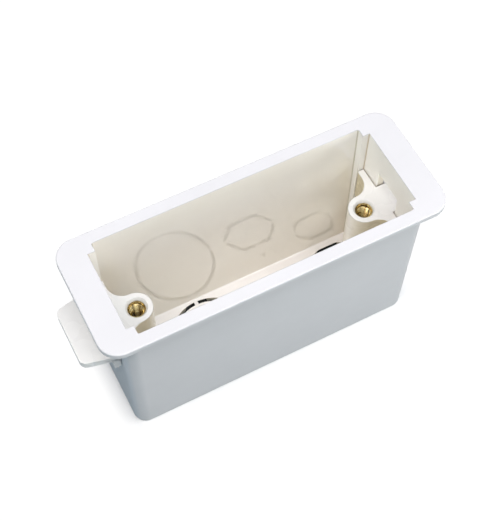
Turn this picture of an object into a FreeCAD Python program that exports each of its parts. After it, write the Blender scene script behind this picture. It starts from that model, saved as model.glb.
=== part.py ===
import FreeCAD, Part
import os

# Plasterboard back box for a narrow switch plate, with two clamp lugs that slide in its end walls.
# Millimetres. X runs along the box, Y across it, Z out of its open front.
# The origin is the middle of the underside of the base.

# Flange that laps over the front of the board
flange_end_lap = 5.05
flange_side_lap = 1.95
flange_thickness = 1.5
flange_corner_radius = 5.0
flange_edge_radius = 0.35
flange_root_radius = 0.9

# Moulded body: its long sides taper towards the base, its end walls are upright
box_depth = 47.0
body_front_width = 27.6
body_base_width = 26.2
body_corner_radius = 3.2
base_edge_radius = 0.5
side_wall = 1.3
end_wall = 2.0
floor_thickness = 1.5
inner_corner_radius = 0.4
mouth_chamfer = 0.15

# The two fixings, and how far the outside of each end wall lies beyond its fixing
fixing_centres = 60.3
fixing_to_end = 7.95

# Upright guide channel in each end wall, between two corner ribs, and the slot through the wall
rib_width = 1.5
channel_depth = 1.8
slot_width = 8.7
slot_below_front = 8.7
slot_height = 22.3
slot_corner_radius = 1.2

# Clamp lug: arms in the channel, neck through the slot, boss round the insert
lug_below_front = 14.2
left_lug_rise = 1.2
side_clearance = 0.2
face_clearance = 0.3
neck_clearance = 0.35
arm_thickness = 1.6
arm_height = 10.0
arm_end_radius = 0.5
neck_height = 10.0
web_fillet_radius = 4.3
boss_wall = 1.3
boss_length = 16.8
lug_chamfer = 0.2

# Wing behind the board, and the leg that carries it down the outside of the end wall
wing_reach = 8.9
wing_root_width = 18.8
wing_tip_width = 14.9
wing_thickness = 2.3
wing_tip_radius = 1.8
leg_thickness = 1.5
leg_width = 17.6
leg_height = 7.6
leg_corner_radius = 1.5
wing_root_radius = 1.2

# Turned brass insert, moulded into the boss: a collar, then two wide bands with a groove between
thread_bore_radius = 1.45
thread_lead_in = 0.5
insert_rim = 0.2
insert_band_step = 0.45
insert_groove_depth = 0.3
insert_collar_length = 1.0
insert_band_length = 2.8
insert_groove_length = 1.4
insert_recess = 0.85
dish_width = 0.55
screw_way_clearance = 0.45

# Knock-outs in the base: narrow slots cut right through, crossed by small bridges
knockout_slot = 0.95
bridge_width = 1.0
round_knockout_edge = 0.85
hexagon_half_length = 8.35
hexagon_half_flat = 3.95
hexagon_half_width = 4.9
oval_half_length = 5.8
oval_half_width = 3.8
oval_knockout_edge = 1.8
oval_to_rib = 0.6
hexagon_to_oval = 2.25
round_to_hexagon = 3.2

# Small sunk triangle on the inside of the base
mark_size = 1.1
mark_depth = 0.3
mark_to_wall = 3.6

# Levels and faces that several pieces share
lug_x = fixing_centres / 2
body_end_x = lug_x + fixing_to_end
body_length = 2 * body_end_x
flange_length = body_length + 2 * flange_end_lap
flange_width = body_front_width + 2 * flange_side_lap
flange_back_z = box_depth - flange_thickness
channel_x = body_end_x - end_wall
cavity_end_x = channel_x - channel_depth
floor_half_width = body_base_width / 2 - side_wall
channel_half_width = floor_half_width - rib_width
slot_top_z = box_depth - slot_below_front
lug_top_z = box_depth - lug_below_front
arm_outer_x = channel_x - face_clearance
arm_inner_x = arm_outer_x - arm_thickness
arm_half_width = channel_half_width - side_clearance
neck_half_width = slot_width / 2 - neck_clearance
leg_x = body_end_x + face_clearance
wing_tip_x = body_end_x + wing_reach

# Radii and levels of the insert and of the boss round it
thread_mouth_radius = thread_bore_radius + thread_lead_in
insert_collar_radius = thread_mouth_radius + insert_rim
insert_band_radius = insert_collar_radius + insert_band_step
insert_groove_radius = insert_band_radius - insert_groove_depth
boss_radius = insert_band_radius + boss_wall
insert_top_z = lug_top_z - insert_recess
insert_band_z = insert_top_z - insert_collar_length
insert_groove_z = insert_band_z - insert_band_length
insert_lower_band_z = insert_groove_z - insert_groove_length
insert_bottom_z = insert_lower_band_z - insert_band_length

# Places of the knock-outs, set out in a row from the rib at the +X end
round_knockout_radius = floor_half_width - round_knockout_edge
oval_knockout_x = cavity_end_x - oval_to_rib - oval_half_length
oval_knockout_y = floor_half_width - oval_knockout_edge - oval_half_width
hexagon_knockout_x = oval_knockout_x - oval_half_length - hexagon_to_oval - hexagon_half_length
round_knockout_x = hexagon_knockout_x - hexagon_half_length - round_to_hexagon - round_knockout_radius
mark_y = floor_half_width - mark_to_wall

# A cutter runs this far past the face that it opens
overrun = 1.0


def point(x, y, z=0.0):
    return FreeCAD.Vector(x, y, z)


def polygon_face(points):
    return Part.Face(Part.makePolygon(points + points[:1]))


def raised(face, height):
    return face.extrude(point(0, 0, height))


def block(x_range, y_range, z_range):
    """Upright box between two corners."""
    (x0, x1), (y0, y1), (z0, z1) = x_range, y_range, z_range
    return Part.makeBox(x1 - x0, y1 - y0, z1 - z0, point(x0, y0, z0))


def edges_where(solid, test):
    return [edge for edge in solid.Edges if test(edge.BoundBox)]


def is_upright(box):
    """True for an edge that climbs more than it runs sideways."""
    return box.ZLength > max(box.XLength, box.YLength, 1e-6)


def is_level_at(z):
    """Test for edges that lie flat at one height."""
    return lambda box: abs(box.ZMin - z) < 1e-4 and abs(box.ZMax - z) < 1e-4


def lower_edges_along_x(solid):
    """The edges that run along X at the solid's lowest level."""
    low = solid.BoundBox.ZMin
    return edges_where(solid, lambda box: box.XLength > box.YLength and is_level_at(low)(box))


def rounded_plate(length, width, radius, thickness, z):
    """Flat plate with rounded corners."""
    plate = block((-length / 2, length / 2), (-width / 2, width / 2), (z, z + thickness))
    return plate.makeFillet(radius, edges_where(plate, is_upright))


def body_width(z):
    """Outside width of the tapered body at a height."""
    return body_base_width + (body_front_width - body_base_width) * z / box_depth


def tapered_block(length, wall, z_low, z_high):
    """Block whose long sides follow the body's taper, one wall thickness inside them."""
    low = body_width(z_low) / 2 - wall
    high = body_width(z_high) / 2 - wall
    section = [point(-length / 2, -low, z_low), point(-length / 2, low, z_low),
               point(-length / 2, high, z_high), point(-length / 2, -high, z_high)]
    return polygon_face(section).extrude(point(length, 0, 0))


def body_outside():
    """Outside of the body with its flange, corners and edges rounded."""
    body = tapered_block(body_length, 0.0, 0.0, flange_back_z)
    body = body.makeFillet(body_corner_radius, edges_where(body, is_upright))
    body = body.makeFillet(base_edge_radius, edges_where(body, is_level_at(0.0)))
    flange = rounded_plate(flange_length, flange_width, flange_corner_radius,
                           flange_thickness, flange_back_z)
    flange = flange.makeFillet(flange_edge_radius, edges_where(flange, is_level_at(box_depth)))
    outside = body.fuse(flange)
    in_body = lambda box: (is_level_at(flange_back_z)(box)
                           and box.XMax < body_end_x + 1e-3 and box.XMin > -body_end_x - 1e-3
                           and box.YMax < body_width(flange_back_z) / 2 + 1e-3
                           and box.YMin > -body_width(flange_back_z) / 2 - 1e-3)
    return outside.makeFillet(flange_root_radius, edges_where(outside, in_body))


def cavity():
    """Hollow of the box: the tapered space between the ribs and the two guide channels."""
    top_z = box_depth + overrun
    middle = tapered_block(2 * cavity_end_x, side_wall, floor_thickness, top_z)
    corners = edges_where(middle, is_upright) + edges_where(middle, is_level_at(floor_thickness))
    middle = middle.makeFillet(inner_corner_radius, corners)
    channels = block((-channel_x, channel_x), (-channel_half_width, channel_half_width),
                     (floor_thickness, top_z))
    return middle.fuse(channels)


def lug_slot():
    """Upright slot through both end walls, rounded at its lower corners."""
    reach = body_end_x + overrun
    slot = block((-reach, reach), (-slot_width / 2, slot_width / 2),
                 (slot_top_z - slot_height, slot_top_z))
    slot = slot.makeFillet(slot_corner_radius, lower_edges_along_x(slot))
    return slot.cut(block((-cavity_end_x, cavity_end_x), (-slot_width, slot_width), (0, box_depth)))


def slot_round(outline, x_bridges, y_bridges):
    """Cutter for a narrow slot that follows an outline, less the bridges that cross it."""
    inner = outline.makeOffset2D(-knockout_slot)
    ring = Part.Face(outline).cut(Part.Face(inner))
    cutter = raised(ring, floor_thickness + 2 * overrun)
    cutter.translate(point(0, 0, -overrun))
    box = outline.BoundBox
    half = bridge_width / 2
    z_range = (-2 * overrun, floor_thickness + 2 * overrun)
    for x in x_bridges:
        cutter = cutter.cut(block((x - half, x + half), (box.YMin - overrun, box.YMax + overrun), z_range))
    for y in y_bridges:
        cutter = cutter.cut(block((box.XMin - overrun, box.XMax + overrun), (y - half, y + half), z_range))
    return cutter


def round_knockout():
    circle = Part.makeCircle(round_knockout_radius, point(round_knockout_x, 0))
    return slot_round(Part.Wire(circle), [round_knockout_x], [0.0])


def hexagon_knockout():
    corners = [(hexagon_half_length, 0), (hexagon_half_flat, hexagon_half_width),
               (-hexagon_half_flat, hexagon_half_width), (-hexagon_half_length, 0),
               (-hexagon_half_flat, -hexagon_half_width), (hexagon_half_flat, -hexagon_half_width)]
    points = [point(hexagon_knockout_x + x, y) for x, y in corners]
    return slot_round(Part.makePolygon(points + points[:1]), [hexagon_knockout_x], [0.0])


def oval_knockout():
    """Round-ended slot beside the fixing at the +X end."""
    straight = oval_half_length - oval_half_width
    left = oval_knockout_x - straight
    right = oval_knockout_x + straight
    low = oval_knockout_y - oval_half_width
    high = oval_knockout_y + oval_half_width
    outline = Part.Wire([
        Part.makeLine(point(left, low), point(right, low)),
        Part.Arc(point(right, low), point(right + oval_half_width, oval_knockout_y),
                 point(right, high)).toShape(),
        Part.makeLine(point(right, high), point(left, high)),
        Part.Arc(point(left, high), point(left - oval_half_width, oval_knockout_y),
                 point(left, low)).toShape()])
    return slot_round(outline, [], [oval_knockout_y])


def base_mark():
    """Sunk triangle beside the hexagon that points across the box."""
    x = hexagon_knockout_x
    corners = [point(x - mark_size, mark_y - mark_size / 2), point(x + mark_size, mark_y - mark_size / 2),
               point(x, mark_y + mark_size)]
    mark = raised(polygon_face(corners), mark_depth + overrun)
    mark.translate(point(0, 0, floor_thickness - mark_depth))
    return mark


def box_body():
    """The moulded box in one piece."""
    box = body_outside().cut(cavity())
    box = box.cut(lug_slot())
    mouth = edges_where(box, lambda edge: is_level_at(box_depth)(edge)
                        and max(abs(edge.XMin), abs(edge.XMax)) < channel_x + 1e-3
                        and max(abs(edge.YMin), abs(edge.YMax)) < body_front_width / 2)
    box = box.makeChamfer(mouth_chamfer, mouth)
    for cutter in (round_knockout(), hexagon_knockout(), oval_knockout(), base_mark()):
        box = box.cut(cutter)
    return box


def lug_outline():
    """Plan of the boss, flared by a hollow curve into the two arms of the slider."""
    arm_root = arm_half_width - 2 * arm_end_radius
    fillet = min(web_fillet_radius, arm_inner_x - lug_x, arm_root - boss_radius)
    middle = fillet * 2 ** -0.5
    start_x = arm_inner_x - fillet
    flare_y = boss_radius + fillet
    edges = [Part.Arc(point(lug_x, boss_radius), point(lug_x - boss_radius, 0),
                      point(lug_x, -boss_radius)).toShape(),
             Part.makeLine(point(arm_outer_x, -arm_half_width), point(arm_outer_x, arm_half_width))]
    for side in (-1, 1):
        if start_x > lug_x:
            edges.append(Part.makeLine(point(lug_x, side * boss_radius), point(start_x, side * boss_radius)))
        edges.append(Part.Arc(point(start_x, side * boss_radius),
                              point(start_x + middle, side * (flare_y - middle)),
                              point(arm_inner_x, side * flare_y)).toShape())
        edges.append(Part.makeLine(point(arm_inner_x, side * flare_y),
                                   point(arm_inner_x, side * arm_half_width)))
        edges.append(Part.makeLine(point(arm_inner_x, side * arm_half_width),
                                   point(arm_outer_x, side * arm_half_width)))
    return Part.Face(Part.Wire(Part.__sortEdges__(edges)))


def slider():
    """Boss top, flare and arms, eased on every top edge but the one along the channel."""
    body = raised(lug_outline(), arm_height)
    body.translate(point(0, 0, lug_top_z - arm_height))
    arm_corners = edges_where(body, lambda box: is_upright(box) and box.XMax < arm_inner_x + 1e-3
                              and max(abs(box.YMin), abs(box.YMax)) > arm_half_width - 1e-3)
    body = body.makeFillet(arm_end_radius, arm_corners)
    open_side = edges_where(body, lambda box: is_level_at(lug_top_z)(box)
                            and box.XMin < arm_outer_x - 1e-3)
    return body.makeChamfer(lug_chamfer, open_side)


def wing():
    """Tapered wing that bears on the back of the board, rounded at its tip."""
    root = wing_root_width / 2
    tip = wing_tip_width / 2
    plan = polygon_face([point(leg_x, -root), point(wing_tip_x, -tip),
                         point(wing_tip_x, tip), point(leg_x, root)])
    plate = raised(plan, wing_thickness)
    plate.translate(point(0, 0, lug_top_z - wing_thickness))
    corners = edges_where(plate, lambda box: is_upright(box) and box.XMin > wing_tip_x - 1e-3)
    plate = plate.makeFillet(wing_tip_radius, corners)
    return plate.makeChamfer(lug_chamfer, edges_where(plate, is_level_at(lug_top_z)))


def leg():
    """Leg down the outside of the end wall, rounded at its lower corners, with a root fillet."""
    x_range = (leg_x, leg_x + leg_thickness)
    z_range = (lug_top_z - leg_height, lug_top_z - wing_thickness / 2)
    plate = block(x_range, (-leg_width / 2, leg_width / 2), z_range)
    return plate.makeFillet(leg_corner_radius, lower_edges_along_x(plate))


def root_fillet():
    """Hollow fillet between the leg and the underside of the wing."""
    x = leg_x + leg_thickness
    z = lug_top_z - wing_thickness
    y = leg_width / 2
    square = polygon_face([point(x, -y, z), point(x + wing_root_radius, -y, z),
                           point(x, -y, z - wing_root_radius)])
    strip = square.extrude(point(0, 2 * y, 0))
    hollow = Part.makeCylinder(wing_root_radius, 2 * y, point(x + wing_root_radius, -y,
                                                              z - wing_root_radius), point(0, 1, 0))
    return strip.cut(hollow)


def insert_outside():
    """Outer form of the brass insert, which the boss is moulded around."""
    return insert_profile(0.0, 0.0).revolve(point(lug_x, 0, 0), point(0, 0, 1), 360)


def insert_profile(bore, mouth):
    """Half section of the insert, from its bore out to its bands."""
    radii = [(mouth, insert_top_z), (insert_collar_radius, insert_top_z),
             (insert_collar_radius, insert_band_z), (insert_band_radius, insert_band_z),
             (insert_band_radius, insert_groove_z), (insert_groove_radius, insert_groove_z),
             (insert_groove_radius, insert_lower_band_z), (insert_band_radius, insert_lower_band_z),
             (insert_band_radius, insert_bottom_z), (bore, insert_bottom_z)]
    if mouth > bore:
        radii.append((bore, insert_top_z - (mouth - bore)))
    return polygon_face([point(lug_x + radius, 0, z) for radius, z in radii])


def brass_insert():
    """Threaded insert, bored to the thread's inner diameter, with a lead-in."""
    return insert_profile(thread_bore_radius, thread_mouth_radius).revolve(
        point(lug_x, 0, 0), point(0, 0, 1), 360)


def boss_hollow():
    """Dish round the insert, the insert's own seat and the way for a long screw below it."""
    axis = point(0, 0, 1)
    dish = Part.makeCone(insert_collar_radius, insert_collar_radius + dish_width, insert_recess,
                         point(lug_x, 0, insert_top_z), axis)
    way_bottom = lug_top_z - boss_length - overrun
    way = Part.makeCylinder(thread_bore_radius + screw_way_clearance, insert_top_z - way_bottom,
                            point(lug_x, 0, way_bottom), axis)
    return insert_outside().fuse([dish, way])


def clamp_lug():
    """The lug at the +X end: slider, boss, neck, leg and wing in one piece."""
    boss = Part.makeCylinder(boss_radius, boss_length - arm_height / 2,
                             point(lug_x, 0, lug_top_z - boss_length))
    neck = block((arm_outer_x - arm_thickness / 2, leg_x + leg_thickness / 2),
                 (-neck_half_width, neck_half_width), (lug_top_z - neck_height, lug_top_z))
    neck = neck.makeFillet(slot_corner_radius, lower_edges_along_x(neck))
    lug = slider().fuse([boss, neck, leg(), wing(), root_fillet()]).removeSplitter()
    return lug.cut(boss_hollow())


def other_end(shape):
    """The same piece at the other end of the box, slid a little higher in its slot."""
    turned = shape.copy()
    turned.rotate(point(0, 0, 0), point(0, 0, 1), 180)
    turned.translate(point(0, 0, left_lug_rise))
    return turned


def save(name, shape):
    if len(shape.Solids) != 1:
        raise ValueError(f"{name} has {len(shape.Solids)} solids")
    solid = shape.Solids[0]
    solid.exportStep(os.path.join("parts", name + ".step"))
    print(name, round(solid.Volume, 1), "mm3")


os.makedirs("parts", exist_ok=True)
right_lug = clamp_lug()
right_insert = brass_insert()
save("box_body", box_body())
save("right_clamp_lug", right_lug)
save("left_clamp_lug", other_end(right_lug))
save("right_brass_insert", right_insert)
save("left_brass_insert", other_end(right_insert))
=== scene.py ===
import bpy
from math import radians
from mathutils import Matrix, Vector


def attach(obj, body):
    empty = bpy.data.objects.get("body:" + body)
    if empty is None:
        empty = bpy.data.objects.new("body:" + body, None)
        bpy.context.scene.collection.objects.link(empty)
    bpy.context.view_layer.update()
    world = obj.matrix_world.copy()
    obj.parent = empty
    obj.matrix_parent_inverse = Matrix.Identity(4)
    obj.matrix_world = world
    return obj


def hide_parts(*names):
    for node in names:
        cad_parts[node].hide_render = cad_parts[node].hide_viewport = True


# Plasterboard back box with two sliding clamp lugs and their threaded brass inserts.
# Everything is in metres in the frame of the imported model; mm turns a drawing size into metres.
mm = 0.001

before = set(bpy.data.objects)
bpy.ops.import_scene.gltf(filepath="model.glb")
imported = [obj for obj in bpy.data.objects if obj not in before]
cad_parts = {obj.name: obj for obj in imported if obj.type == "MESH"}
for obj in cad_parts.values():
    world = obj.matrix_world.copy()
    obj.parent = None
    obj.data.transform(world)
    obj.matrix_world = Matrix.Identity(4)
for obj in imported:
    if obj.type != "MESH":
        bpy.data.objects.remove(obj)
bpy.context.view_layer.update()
print("frame loaded")


# Small helpers that the pieces share.
def deselectAll():
    if bpy.context.object and bpy.context.object.mode != 'OBJECT':
        bpy.ops.object.mode_set(mode='OBJECT')
    bpy.ops.object.select_all(action='DESELECT')


def makeActive(obj):
    deselectAll()
    obj.select_set(True)
    bpy.context.view_layer.objects.active = obj


def editAll(obj):
    makeActive(obj)
    bpy.ops.object.mode_set(mode='EDIT')
    bpy.ops.mesh.select_mode(type='VERT')
    bpy.ops.mesh.select_all(action='SELECT')


def applyModifiers(obj):
    makeActive(obj)
    for modifier in list(obj.modifiers):
        bpy.ops.object.modifier_apply(modifier=modifier.name)


def selectVerts(obj, test):
    # test gets a vertex's place; the object is left in edit mode
    bpy.ops.mesh.select_all(action='DESELECT')
    bpy.ops.object.mode_set(mode='OBJECT')
    for vertex in obj.data.vertices:
        vertex.select = test(vertex.co)
    bpy.ops.object.mode_set(mode='EDIT')


def newMaterial(name):
    material = bpy.data.materials.new(name)
    material.use_nodes = True
    nodes = material.node_tree.nodes
    return material, nodes, material.node_tree.links, nodes['Principled BSDF']


def addNode(nodes, kind, **settings):
    node = nodes.new(kind)
    for key, value in settings.items():
        if key in node.inputs:
            node.inputs[key].default_value = value
        else:
            setattr(node, key, value)
    return node


def mathNode(nodes, links, operation, first, second=None):
    node = nodes.new('ShaderNodeMath')
    node.operation = operation
    for socket, value in zip(node.inputs, (first, second)):
        if isinstance(value, (int, float)):
            socket.default_value = value
        elif value is not None:
            links.new(value, socket)
    return node.outputs[0]


def noiseOf(nodes, links, place, scale, detail=3.0, roughness=0.55):
    noise = addNode(nodes, 'ShaderNodeTexNoise', Scale=scale, Detail=detail, Roughness=roughness)
    links.new(place, noise.inputs['Vector'])
    return noise.outputs['Fac']


def rangeOf(nodes, links, value, fromLow, fromHigh, toLow, toHigh):
    ramp = nodes.new('ShaderNodeMapRange')
    links.new(value, ramp.inputs['Value'])
    limits = {'From Min': fromLow, 'From Max': fromHigh, 'To Min': toLow, 'To Max': toHigh}
    for key, number in limits.items():
        ramp.inputs[key].default_value = number
    return ramp.outputs['Result']


def mixColour(nodes, links, factor, first, second, blend='MIX'):
    mix = nodes.new('ShaderNodeMix')
    mix.data_type = 'RGBA'
    mix.blend_type = blend
    links.new(factor, mix.inputs['Factor'])
    for socket, value in ((mix.inputs['A'], first), (mix.inputs['B'], second)):
        if isinstance(value, tuple):
            socket.default_value = value + (1.0,)
        else:
            links.new(value, socket)
    return mix.outputs['Result']


def setMaterial(obj, material):
    obj.data.materials.clear()
    obj.data.materials.append(material)


# White plastics: the box's satin outside, its polished long walls and base, its satin ends with
# their upright corners in painted shade, and the lugs, which are moulded apart. The box's inside and
# outside are one plastic: the inside is painted lighter and warmer and the outside darker and bluer,
# painted light for the warm light bounced about the hollow and the cool light outside. Each has a
# slow cloudy tone, uneven gloss, orange peel and a finer grain on top of it. A painted shade darkens
# or warms a plastic where all its ramps overlap, where less light falls. Each ramp runs between two
# distances from a middle plane, or two heights for Z.
# painted shade: the knock-out slots' walls and the sunk mark in the base turn near black below the
# base's top
sunkPaintedShade = dict(colour=(0.05, 0.04, 0.03), ramps=(('Z', 1.47 * mm, 1.30 * mm),))
# painted shade: the hollow's walls darker and warmer towards the base
lowPaintedShade = dict(colour=(0.955, 0.942, 0.905), ramps=(('Z', 34 * mm, 6 * mm),))
# painted shade: the long walls darker and warmer near the ends' ribs and low down
endPaintedShade = dict(
    colour=(0.93, 0.89, 0.81),
    ramps=(('X', 29 * mm, 34.3 * mm), ('Y', 10.8 * mm, 11.6 * mm), ('Z', 38 * mm, 12 * mm)))
# painted shade: a dark line in the corners where the channels' sides meet the end walls
channelCornerPaintedShade = dict(
    colour=(0.70, 0.61, 0.50), ramps=(('X', 35.7 * mm, 36.1 * mm), ('Y', 9.9 * mm, 10.3 * mm)))
# painted shade: the satin faces in the slots through the end walls made darker
slotSidePaintedShade = dict(colour=(0.72, 0.68, 0.61), ramps=(('X', 36.2 * mm, 36.6 * mm),))
# painted shade: the lugs darker from their wings towards their bosses
bossTopPaintedShade = dict(colour=(0.79, 0.795, 0.79), ramps=(('X', 43 * mm, 30 * mm),))
# painted shade: the lugs' upright sides darker and warmer towards their front and rear
bossSidePaintedShade = dict(colour=(0.71, 0.65, 0.49), ramps=(('Y', 0.5 * mm, 5.0 * mm),))
# painted shade: the box's outer end faces below the flange darker and bluer
outerEndPaintedShade = dict(
    colour=(0.84, 0.90, 0.95), ramps=(('X', 37.2 * mm, 38.0 * mm), ('Z', 44.6 * mm, 43.8 * mm)))

# surfaces that several plastics share
polished = dict(
    cloudScale=70.0, roughness=(0.01, 0.03), smearScale=110.0, peelScale=160.0, peelBump=0.001,
    grainScale=900.0, grainBump=0.0005, specular=1.0)
satin = dict(
    cloudScale=70.0, roughness=(0.30, 0.40), smearScale=110.0, peelScale=300.0, peelBump=0.02,
    grainScale=900.0, grainBump=0.01)
lugSurface = dict(
    cloudScale=90.0, roughness=(0.25, 0.30), smearScale=140.0, peelScale=600.0, peelBump=0.03,
    grainScale=2400.0, grainBump=0.04)
plastics = dict(
    # painted light and shade: the box's outside is painted darker and bluer and its hollow lighter
    # and warmer, though all are one plastic
    boxPlastic=dict(
        light=(0.742, 0.739, 0.758), dark=(0.714, 0.711, 0.730), cloudScale=55.0,
        roughness=(0.32, 0.44), smearScale=160.0, peelScale=420.0, peelBump=0.05,
        grainScale=2600.0, grainBump=0.03, specular=0.45, paintedShades=(outerEndPaintedShade,)),
    polishedPlastic=dict(
        light=(0.985, 0.957, 0.897), dark=(0.965, 0.932, 0.867),
        paintedShades=(lowPaintedShade, endPaintedShade, sunkPaintedShade), **polished),
    basePlastic=dict(
        light=(0.930, 0.906, 0.886), dark=(0.910, 0.883, 0.859), paintedShades=(sunkPaintedShade,), **polished),
    satinPlastic=dict(
        light=(0.995, 0.975, 0.925), dark=(0.985, 0.960, 0.905), specular=0.5,
        paintedShades=(channelCornerPaintedShade, slotSidePaintedShade), **satin),
    # painted shade: a darker copy of the satin plastic for the fillets of the hollow's rear upright
    # corners
    seamPlastic=dict(
        light=(0.68, 0.64, 0.54), dark=(0.64, 0.60, 0.50), specular=0.2, paintedShades=(), **satin),
    lugPlastic=dict(
        light=(0.955, 0.942, 0.925), dark=(0.943, 0.929, 0.911), specular=0.5,
        paintedShades=(bossTopPaintedShade,), **lugSurface),
    # painted light and shade: a warmer copy of the lugs' plastic on their upright sides in the
    # hollow, for the warm light bounced there
    lugSidePlastic=dict(
        light=(0.965, 0.940, 0.875), dark=(0.950, 0.923, 0.857), specular=0.3,
        paintedShades=(bossSidePaintedShade,), **lugSurface))
texture = dict(
    cloudDetail=4.0, cloudRoughness=0.6, cloudWindow=(0.35, 0.7), smearDetail=2.0,
    smearWindow=(0.3, 0.7), peelDetail=2.0, grainDetail=3.0, bumpDistance=0.05 * mm, ior=1.5)


def shadeWhere(nodes, links, place, shade, colour):
    split = nodes.new('ShaderNodeSeparateXYZ')
    links.new(place, split.inputs[0])
    amount = None
    for axis, start, end in shade['ramps']:
        away = mathNode(nodes, links, 'ABSOLUTE', split.outputs[axis])
        ramp = rangeOf(nodes, links, away, start, end, 0.0, 1.0)
        amount = ramp if amount is None else mathNode(nodes, links, 'MULTIPLY', amount, ramp)
    return mixColour(nodes, links, amount, colour, shade['colour'], 'MULTIPLY')


def bumpOf(nodes, links, place, scale, detail, strength):
    bump = addNode(nodes, 'ShaderNodeBump', Strength=strength, Distance=texture['bumpDistance'])
    links.new(noiseOf(nodes, links, place, scale, detail), bump.inputs['Height'])
    return bump


def makePlastic(name):
    f = plastics[name]
    material, nodes, links, shader = newMaterial(name)
    place = nodes.new('ShaderNodeTexCoord').outputs['Object']
    cloud = noiseOf(nodes, links, place, f['cloudScale'], texture['cloudDetail'],
                    texture['cloudRoughness'])
    tone = rangeOf(nodes, links, cloud, *texture['cloudWindow'], 0.0, 1.0)
    colour = mixColour(nodes, links, tone, f['light'], f['dark'])
    for shade in f['paintedShades']:
        colour = shadeWhere(nodes, links, place, shade, colour)
    links.new(colour, shader.inputs['Base Color'])
    smear = noiseOf(nodes, links, place, f['smearScale'], texture['smearDetail'])
    gloss = rangeOf(nodes, links, smear, *texture['smearWindow'], *f['roughness'])
    links.new(gloss, shader.inputs['Roughness'])
    peel = bumpOf(nodes, links, place, f['peelScale'], texture['peelDetail'], f['peelBump'])
    grain = bumpOf(nodes, links, place, f['grainScale'], texture['grainDetail'], f['grainBump'])
    links.new(peel.outputs['Normal'], grain.inputs['Normal'])
    links.new(grain.outputs['Normal'], shader.inputs['Normal'])
    shader.inputs['IOR'].default_value = texture['ior']
    shader.inputs['Specular IOR Level'].default_value = f['specular']
    return material


# Turned brass: bright at the mouth, with painted shade down the bore, in the thread's roots and in
# streaks along the bore, and fine turning rings. The mesh carries each point's depth below its top.
brassFinish = dict(
    bright=(0.88, 0.72, 0.36), paintedShadeColour=(0.13, 0.075, 0.020), roughness=(0.14, 0.26),
    paintedShadeStart=0.6 * mm, paintedShadeFull=3.4 * mm, rootRadius=1.78 * mm, crestRadius=1.50 * mm,
    rootPaintedShade=0.50, streakScale=1150.0, streakStretch=0.06, streakDetail=3.0, streakRoughness=0.65,
    streakDepth=(0.35, 1.0), streakPaintedShade=0.85, borePaintedShadeWindow=(0.35, 0.62), streakWindow=(0.52, 0.60),
    glossWindow=(0.3, 0.7), ringScale=9000.0, ringBump=0.12, bumpDistance=0.02 * mm,
    axisX=30.15 * mm)


def makeBrass():
    f = brassFinish
    material, nodes, links, shader = newMaterial("brass")
    place = nodes.new('ShaderNodeTexCoord').outputs['Object']
    split = nodes.new('ShaderNodeSeparateXYZ')
    links.new(place, split.inputs[0])
    fromAxis = mathNode(nodes, links, 'SUBTRACT',
                        mathNode(nodes, links, 'ABSOLUTE', split.outputs['X']), f['axisX'])
    squareX = mathNode(nodes, links, 'MULTIPLY', fromAxis, fromAxis)
    squareY = mathNode(nodes, links, 'MULTIPLY', split.outputs['Y'], split.outputs['Y'])
    radius = mathNode(nodes, links, 'SQRT', mathNode(nodes, links, 'ADD', squareX, squareY))
    root = rangeOf(nodes, links, radius, f['crestRadius'], f['rootRadius'], 0.0, f['rootPaintedShade'])
    depth = addNode(nodes, 'ShaderNodeAttribute', attribute_name="depth").outputs['Fac']
    deep = rangeOf(nodes, links, depth, f['paintedShadeStart'], f['paintedShadeFull'], 0.0, 1.0)
    stretch = addNode(nodes, 'ShaderNodeMapping', Scale=(1.0, 1.0, f['streakStretch']))
    links.new(place, stretch.inputs['Vector'])
    streak = noiseOf(nodes, links, stretch.outputs[0], f['streakScale'], f['streakDetail'],
                     f['streakRoughness'])
    # painted shade: the brass darkens with depth down the bore, in the thread's roots and in streaks
    borePaintedShade = mathNode(nodes, links, 'MULTIPLY', mathNode(nodes, links, 'MAXIMUM', root, deep),
                    rangeOf(nodes, links, streak, *f['borePaintedShadeWindow'], *f['streakDepth']))
    streakPaintedShade = rangeOf(nodes, links, streak, *f['streakWindow'], 0.0, f['streakPaintedShade'])
    paintedShadeAmount = mathNode(nodes, links, 'MAXIMUM', borePaintedShade, streakPaintedShade)
    links.new(mixColour(nodes, links, paintedShadeAmount, f['bright'], f['paintedShadeColour']), shader.inputs['Base Color'])
    gloss = rangeOf(nodes, links, streak, *f['glossWindow'], *f['roughness'])
    links.new(gloss, shader.inputs['Roughness'])
    turns = mathNode(nodes, links, 'MULTIPLY', split.outputs['Z'], f['ringScale'] * radians(360))
    bump = addNode(nodes, 'ShaderNodeBump', Strength=f['ringBump'], Distance=f['bumpDistance'])
    links.new(mathNode(nodes, links, 'SINE', turns), bump.inputs['Height'])
    links.new(bump.outputs['Normal'], shader.inputs['Normal'])
    shader.inputs['Metallic'].default_value = 1.0
    return material


plastic = {name: makePlastic(name) for name in plastics}
brass = makeBrass()
print("materials made")


# Plastic mouldings: a merged copy of each solid, so that its rounded corners shade smoothly.
moulding = dict(mergeDistance=0.0005 * mm, flatAngle=radians(0.3), smoothAngle=radians(38),
                faceWeight=100, flatArea=25 * mm * mm)
# The box's hollow and the slots through its end walls lie inside these limits. The last four tell
# the end walls, the upright corners, the base and the sides of the lugs apart.
hollow = dict(halfLength=36.3 * mm, baseHalfWidth=11.9 * mm, taper=0.7 / 47, low=0.05 * mm,
              high=46.8 * mm, slotHalfLength=37.9 * mm, slotHalfWidth=4.5 * mm,
              slotLow=15.9 * mm, slotHigh=38.4 * mm,
              endStart=34.2 * mm, cornerSlant=0.3, baseTilt=0.5, lugSideTilt=0.5)


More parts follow.
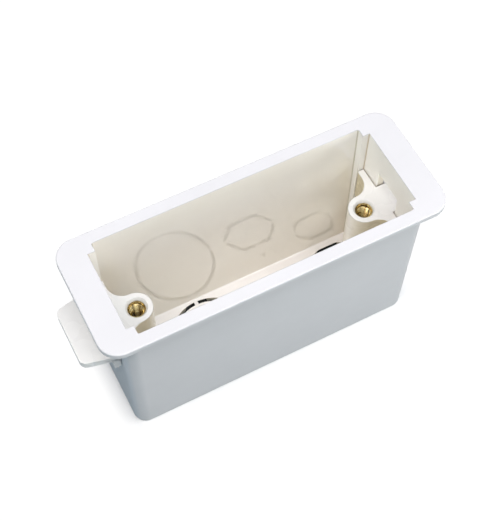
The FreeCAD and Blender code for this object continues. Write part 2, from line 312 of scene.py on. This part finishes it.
def flattenNormals(piece):
    # a large flat face takes its own normal at each corner, so no fillet beside it tints it
    normals = [corner.vector.copy() for corner in piece.data.corner_normals]
    for face in piece.data.polygons:
        if face.area > moulding['flatArea']:
            for index in face.loop_indices:
                normals[index] = face.normal.copy()
    piece.data.normals_split_custom_set(normals)


def smoothMoulding(nodeName, pieceName, material, body):
    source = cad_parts[nodeName]
    piece = bpy.data.objects.new(pieceName, source.data.copy())
    bpy.context.scene.collection.objects.link(piece)
    editAll(piece)
    bpy.ops.mesh.remove_doubles(threshold=moulding['mergeDistance'])
    bpy.ops.mesh.dissolve_limited(angle_limit=moulding['flatAngle'], use_dissolve_boundaries=False)
    bpy.ops.object.mode_set(mode='OBJECT')
    bpy.ops.object.shade_smooth_by_angle(angle=moulding['smoothAngle'])
    even = piece.modifiers.new("evenShading", 'WEIGHTED_NORMAL')
    even.keep_sharp = True
    even.weight = moulding['faceWeight']
    applyModifiers(piece)
    flattenNormals(piece)
    setMaterial(piece, material)
    setMaterial(source, material)
    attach(piece, body)
    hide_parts(nodeName)
    return piece


def inHollow(place):
    halfWidth = hollow['baseHalfWidth'] + hollow['taper'] * place.z
    inside = (abs(place.x) < hollow['halfLength'] and abs(place.y) < halfWidth
              and hollow['low'] < place.z < hollow['high'])
    inSlot = (abs(place.x) < hollow['slotHalfLength'] and abs(place.y) < hollow['slotHalfWidth']
              and hollow['slotLow'] < place.z < hollow['slotHigh'])
    return inside or inSlot


def boxFinish(face):
    # the outside, the base, the rear upright corners in painted shade, the ends with their channels,
    # the long walls
    if not inHollow(face.center):
        return 'boxPlastic'
    if face.normal.z > hollow['baseTilt']:
        return 'basePlastic'
    if min(abs(face.normal.x), abs(face.normal.y)) > hollow['cornerSlant'] and face.center.y > 0:
        return 'seamPlastic'
    return 'satinPlastic' if abs(face.center.x) > hollow['endStart'] else 'polishedPlastic'


def lugFinish(face):
    # upright faces of the lugs inside the hollow take the copy in painted light and shade
    beside = abs(face.center.x) < hollow['halfLength'] and face.normal.z < hollow['lugSideTilt']
    return 'lugSidePlastic' if beside else 'lugPlastic'


def paintFaces(piece, finishOf):
    names = []
    piece.data.materials.clear()
    for face in piece.data.polygons:
        name = finishOf(face)
        if name not in names:
            names.append(name)
            piece.data.materials.append(plastic[name])
        face.material_index = names.index(name)


backBox = smoothMoulding("box_body", "backBox", plastic['boxPlastic'], "box")
paintFaces(backBox, boxFinish)
for side in ("right", "left"):
    lug = smoothMoulding(side + "_clamp_lug", side + "Lug", plastic['lugPlastic'],
                         side + "_lug")
    paintFaces(lug, lugFinish)
print("mouldings made")


# Brass insert: a turned and knurled bush with a real M3.5 thread in its bore.
insert = dict(
    x=30.15 * mm, top=31.95 * mm, leftRise=1.2 * mm, sides=72,
    mouth=1.95 * mm, collar=2.15 * mm, band=2.6 * mm, groove=2.3 * mm, edge=0.06 * mm,
    collarDepth=1.0 * mm, bandLength=2.8 * mm, grooveLength=1.4 * mm, length=8.0 * mm,
    threadRoot=1.75 * mm, threadCrest=1.45 * mm, pitch=0.6 * mm, crestWidth=0.12 * mm,
    leadIn=0.3 * mm, threadTurns=11, threadSteps=40, ridgeSink=0.03 * mm, ridgeFill=0.96,
    knurlDepth=0.955, smoothAngle=radians(30))


def turnedBush(b):
    # rings of the half section, from the mouth outwards, down the outside and up to the bore
    top, bottom = b['top'], b['top'] - b['length']
    shoulder = top - b['collarDepth']
    grooveTop = shoulder - b['bandLength']
    grooveLow = grooveTop - b['grooveLength']
    collar, band, edge = b['collar'], b['band'], b['edge']
    rings = [(collar - edge, top), (collar, top - edge), (collar, shoulder),
             (band - edge, shoulder), (band, shoulder - edge),
             (band, grooveTop + edge), (band - edge, grooveTop), (b['groove'], grooveTop),
             (b['groove'], grooveLow), (band - edge, grooveLow), (band, grooveLow - edge),
             (band, bottom + edge), (band - edge, bottom),
             (b['threadRoot'] + edge, bottom), (b['threadRoot'], bottom + edge),
             (b['threadRoot'], top - b['leadIn'])]
    bpy.ops.mesh.primitive_circle_add(vertices=b['sides'], radius=b['mouth'], fill_type='NOTHING',
                                      location=(b['x'], 0, top))
    bush = bpy.context.object
    makeActive(bush)
    bpy.ops.object.transform_apply(location=True, rotation=True, scale=True)
    editAll(bush)
    radius, z = b['mouth'], top
    for nextRadius, nextZ in rings:
        bpy.ops.mesh.extrude_region_move(TRANSFORM_OT_translate={"value": (0, 0, nextZ - z)})
        grow = nextRadius / radius
        bpy.ops.transform.resize(value=(grow, grow, 1), center_override=(b['x'], 0, nextZ))
        radius, z = nextRadius, nextZ
    bpy.ops.mesh.select_all(action='DESELECT')
    bpy.ops.mesh.select_non_manifold()
    bpy.ops.mesh.bridge_edge_loops()

    # straight knurl: every other line of the two bands pulled in
    axis = Vector((b['x'], 0, 0))
    step = radians(360) / b['sides']

    def onValley(place):
        flat = Vector((place.x, place.y, 0)) - axis
        index = round(flat.xy.angle_signed(Vector((1, 0))) / step)
        return flat.length > band - 2 * edge and index % 2 == 0

    selectVerts(bush, onValley)
    bpy.ops.transform.resize(value=(b['knurlDepth'], b['knurlDepth'], 1), center_override=tuple(axis))
    bpy.ops.mesh.select_all(action='SELECT')
    bpy.ops.mesh.normals_make_consistent(inside=False)
    bpy.ops.object.mode_set(mode='OBJECT')
    return bush


def threadRidge(b):
    # a flat-topped ridge drawn as one section, then swept down the bore by the Screw modifier
    depth = b['threadRoot'] - b['threadCrest'] + b['ridgeSink']
    height = b['pitch'] * b['ridgeFill']
    startZ = b['top'] - b['length'] + b['pitch']
    bpy.ops.mesh.primitive_plane_add(size=1.0, rotation=(radians(90), 0, 0))
    ridge = bpy.context.object
    makeActive(ridge)
    ridge.scale = (depth, height, 1)
    bpy.ops.object.transform_apply(location=False, rotation=True, scale=True)
    editAll(ridge)
    bpy.ops.transform.translate(value=(b['threadCrest'] + depth / 2, 0, 0))
    selectVerts(ridge, lambda place: place.x < b['threadCrest'] + depth / 2)
    bpy.ops.transform.resize(value=(1, 1, b['crestWidth'] / height), center_override=(0, 0, 0))
    bpy.ops.mesh.select_all(action='SELECT')
    bpy.ops.mesh.delete(type='ONLY_FACE')
    bpy.ops.object.mode_set(mode='OBJECT')
    sweep = ridge.modifiers.new("sweep", 'SCREW')
    sweep.axis = 'Z'
    sweep.screw_offset = b['pitch']
    sweep.iterations = b['threadTurns']
    sweep.steps = sweep.render_steps = b['threadSteps']
    applyModifiers(ridge)
    ridge.location = (b['x'], 0, startZ)
    bpy.ops.object.transform_apply(location=True, rotation=False, scale=False)
    editAll(ridge)
    bpy.ops.mesh.select_all(action='DESELECT')
    bpy.ops.mesh.select_non_manifold()
    bpy.ops.mesh.fill_holes(sides=4)
    bpy.ops.mesh.select_all(action='SELECT')
    bpy.ops.mesh.normals_make_consistent(inside=False)
    bpy.ops.object.mode_set(mode='OBJECT')
    return ridge


def finishInsert(piece, name, nodeName, body):
    piece.name = name
    setMaterial(piece, brass)
    setMaterial(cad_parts[nodeName], brass)
    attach(piece, body)
    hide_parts(nodeName)


rightInsert = turnedBush(insert)
ridge = threadRidge(insert)
makeActive(rightInsert)
ridge.select_set(True)
bpy.ops.object.join()
bpy.ops.object.shade_smooth_by_angle(angle=insert['smoothAngle'])
depths = rightInsert.data.attributes.new("depth", 'FLOAT', 'POINT')
for vertex in rightInsert.data.vertices:
    depths.data[vertex.index].value = insert['top'] - vertex.co.z
leftInsert = bpy.data.objects.new("leftInsert", rightInsert.data.copy())
bpy.context.scene.collection.objects.link(leftInsert)
makeActive(leftInsert)
leftInsert.location = (0, 0, insert['leftRise'])
leftInsert.rotation_euler = (0, 0, radians(180))
bpy.ops.object.transform_apply(location=True, rotation=True, scale=False)
finishInsert(rightInsert, "rightInsert", "right_brass_insert", "right_lug")
finishInsert(leftInsert, "leftInsert", "left_brass_insert", "left_lug")
print("brass inserts made")


# Floor, world, lamps and camera.
studio = dict(
    floorSize=6.0, floorColour=(0.90, 0.90, 0.90), floorBounce=(0.17, 0.205, 0.225), floorShow=0.975,
    floorGlow=1.05, floorGloss=0.10, floorRoughness=0.9, skyGloss=0.0, skyStrength=1.0,
    underX=38.0 * mm, underY=13.2 * mm, underFade=5.0 * mm,
    # painted shadow: a near-black patch on the floor under the box's base
    paintedShadowColour=(0.03, 0.03, 0.03), hiddenX=36.5 * mm, hiddenY=12.0 * mm, hiddenFade=0.5 * mm,
    ambient=(0.60, 0.65, 1.0), ambientStrength=0.036,
    lampTarget=(0, 0, 0.03), lampDistance=0.90, lampSize=0.60)
lamps = dict(
    topLamp=dict(aim=(-0.02, -0.03, 1.0), power=3.52, colour=(0.962, 0.970, 1.0), size=0.90),
    keyLamp=dict(aim=(-0.05, -0.45, 0.89), power=1.47, colour=(0.986, 1.0, 0.978)),
    midLamp=dict(aim=(0.0, -0.80, 0.60), power=0.52, colour=(0.98, 0.94, 0.95)),
    nearLamp=dict(
        aim=(0.90, -0.95, 0.15), power=0.735, colour=(0.98, 1.0, 0.955), distance=0.36, size=0.25),
    leftLamp=dict(aim=(-0.50, -0.12, 0.86), power=3.15, colour=(1.0, 0.92, 0.885)),
    rightLamp=dict(aim=(0.50, -0.12, 0.86), power=3.05, colour=(0.940, 0.955, 1.0)),
    lowLamp=dict(aim=(-1.0, -0.36, 0.32), power=1.68, colour=(0.76, 0.97, 1.0)),
    sideLamp=dict(aim=(1.0, -0.30, 0.35), power=0.60, colour=(1.0, 0.97, 0.92)),
    rearLamp=dict(aim=(0.06, 1.0, 0.15), power=2.0, colour=(0.96, 1.0, 0.985), size=0.25))


def seenShare(nodes, links, glossShare):
    # 1 for what the camera sees straight on, a set share of that in reflections, else 0
    light = nodes.new('ShaderNodeLightPath')
    gloss = mathNode(nodes, links, 'MULTIPLY', light.outputs['Is Glossy Ray'], glossShare)
    return mathNode(nodes, links, 'ADD', light.outputs['Is Camera Ray'], gloss)


def makeFloor(s):
    bpy.ops.mesh.primitive_plane_add(size=s['floorSize'], location=(0, 0, 0))
    floor = bpy.context.object
    floor.name = "studioFloor"
    material, nodes, links, shader = newMaterial("floorPaper")
    place = nodes.new('ShaderNodeTexCoord').outputs['Object']
    split = nodes.new('ShaderNodeSeparateXYZ')
    links.new(place, split.inputs[0])
    x, y = [mathNode(nodes, links, 'ABSOLUTE', split.outputs[axis]) for axis in ('X', 'Y')]

    def outside(halfX, halfY, fade):
        beyondX = rangeOf(nodes, links, x, halfX, halfX + fade, 0.0, 1.0)
        beyondY = rangeOf(nodes, links, y, halfY, halfY + fade, 0.0, 1.0)
        return mathNode(nodes, links, 'MAXIMUM', beyondX, beyondY)

    # the glow fades out near the box, and the patch that its base hides is painted dark, a painted
    # shadow that its slots show
    away = outside(s['underX'], s['underY'], s['underFade'])
    seen = seenShare(nodes, links, s['floorGloss'])
    shown = mixColour(nodes, links, outside(s['hiddenX'], s['hiddenY'], s['hiddenFade']),
                      s['paintedShadowColour'], s['floorColour'])
    links.new(mixColour(nodes, links, seen, s['floorBounce'], shown), shader.inputs['Base Color'])
    shader.inputs['Roughness'].default_value = s['floorRoughness']
    shader.inputs['Specular IOR Level'].default_value = 0.0
    glow = addNode(nodes, 'ShaderNodeEmission', Strength=s['floorGlow'])
    mix = nodes.new('ShaderNodeMixShader')
    seenAway = mathNode(nodes, links, 'MULTIPLY', seen, away)
    links.new(mathNode(nodes, links, 'MULTIPLY', seenAway, s['floorShow']), mix.inputs['Fac'])
    links.new(shader.outputs[0], mix.inputs[1])
    links.new(glow.outputs[0], mix.inputs[2])
    links.new(mix.outputs[0], nodes['Material Output'].inputs['Surface'])
    floor.data.materials.append(material)


def makeWorld(s):
    world = bpy.data.worlds.new("studioWorld")
    bpy.context.scene.world = world
    world.use_nodes = True
    nodes, links = world.node_tree.nodes, world.node_tree.links
    white = addNode(nodes, 'ShaderNodeBackground', Strength=s['skyStrength'])
    white.inputs['Color'].default_value = (1, 1, 1, 1)
    soft = nodes['Background']
    soft.inputs['Color'].default_value = s['ambient'] + (1.0,)
    soft.inputs['Strength'].default_value = s['ambientStrength']
    mix = nodes.new('ShaderNodeMixShader')
    links.new(seenShare(nodes, links, s['skyGloss']), mix.inputs['Fac'])
    links.new(soft.outputs[0], mix.inputs[1])
    links.new(white.outputs[0], mix.inputs[2])
    links.new(mix.outputs[0], nodes['World Output'].inputs['Surface'])


def softLamp(name, aim, power, colour, distance=studio['lampDistance'], size=studio['lampSize']):
    direction = Vector(aim).normalized()
    lamp = bpy.data.lights.new(name, 'AREA')
    lamp.shape = 'DISK'
    lamp.size = size
    lamp.energy = power
    lamp.color = colour
    obj = bpy.data.objects.new(name, lamp)
    bpy.context.scene.collection.objects.link(obj)
    obj.location = Vector(studio['lampTarget']) + direction * distance
    obj.rotation_euler = direction.to_track_quat('Z', 'Y').to_euler()


makeFloor(studio)
makeWorld(studio)
for name, values in lamps.items():
    softLamp(name, **values)

# The camera was solved from the edges in the photo.
shot = dict(place=(-0.06251, -0.114207, 0.258788), turn=(29.793, -0.524, -27.424), lens=76.558,
            clipStart=0.01)
cameraData = bpy.data.cameras.new("photoCamera")
cameraData.lens = shot['lens']
cameraData.clip_start = shot['clipStart']
camera = bpy.data.objects.new("photoCamera", cameraData)
bpy.context.scene.collection.objects.link(camera)
camera.location = shot['place']
camera.rotation_euler = [radians(angle) for angle in shot['turn']]
bpy.context.scene.camera = camera
bpy.context.scene.view_settings.view_transform = 'Standard'
print("studio ready")

deselectAll()
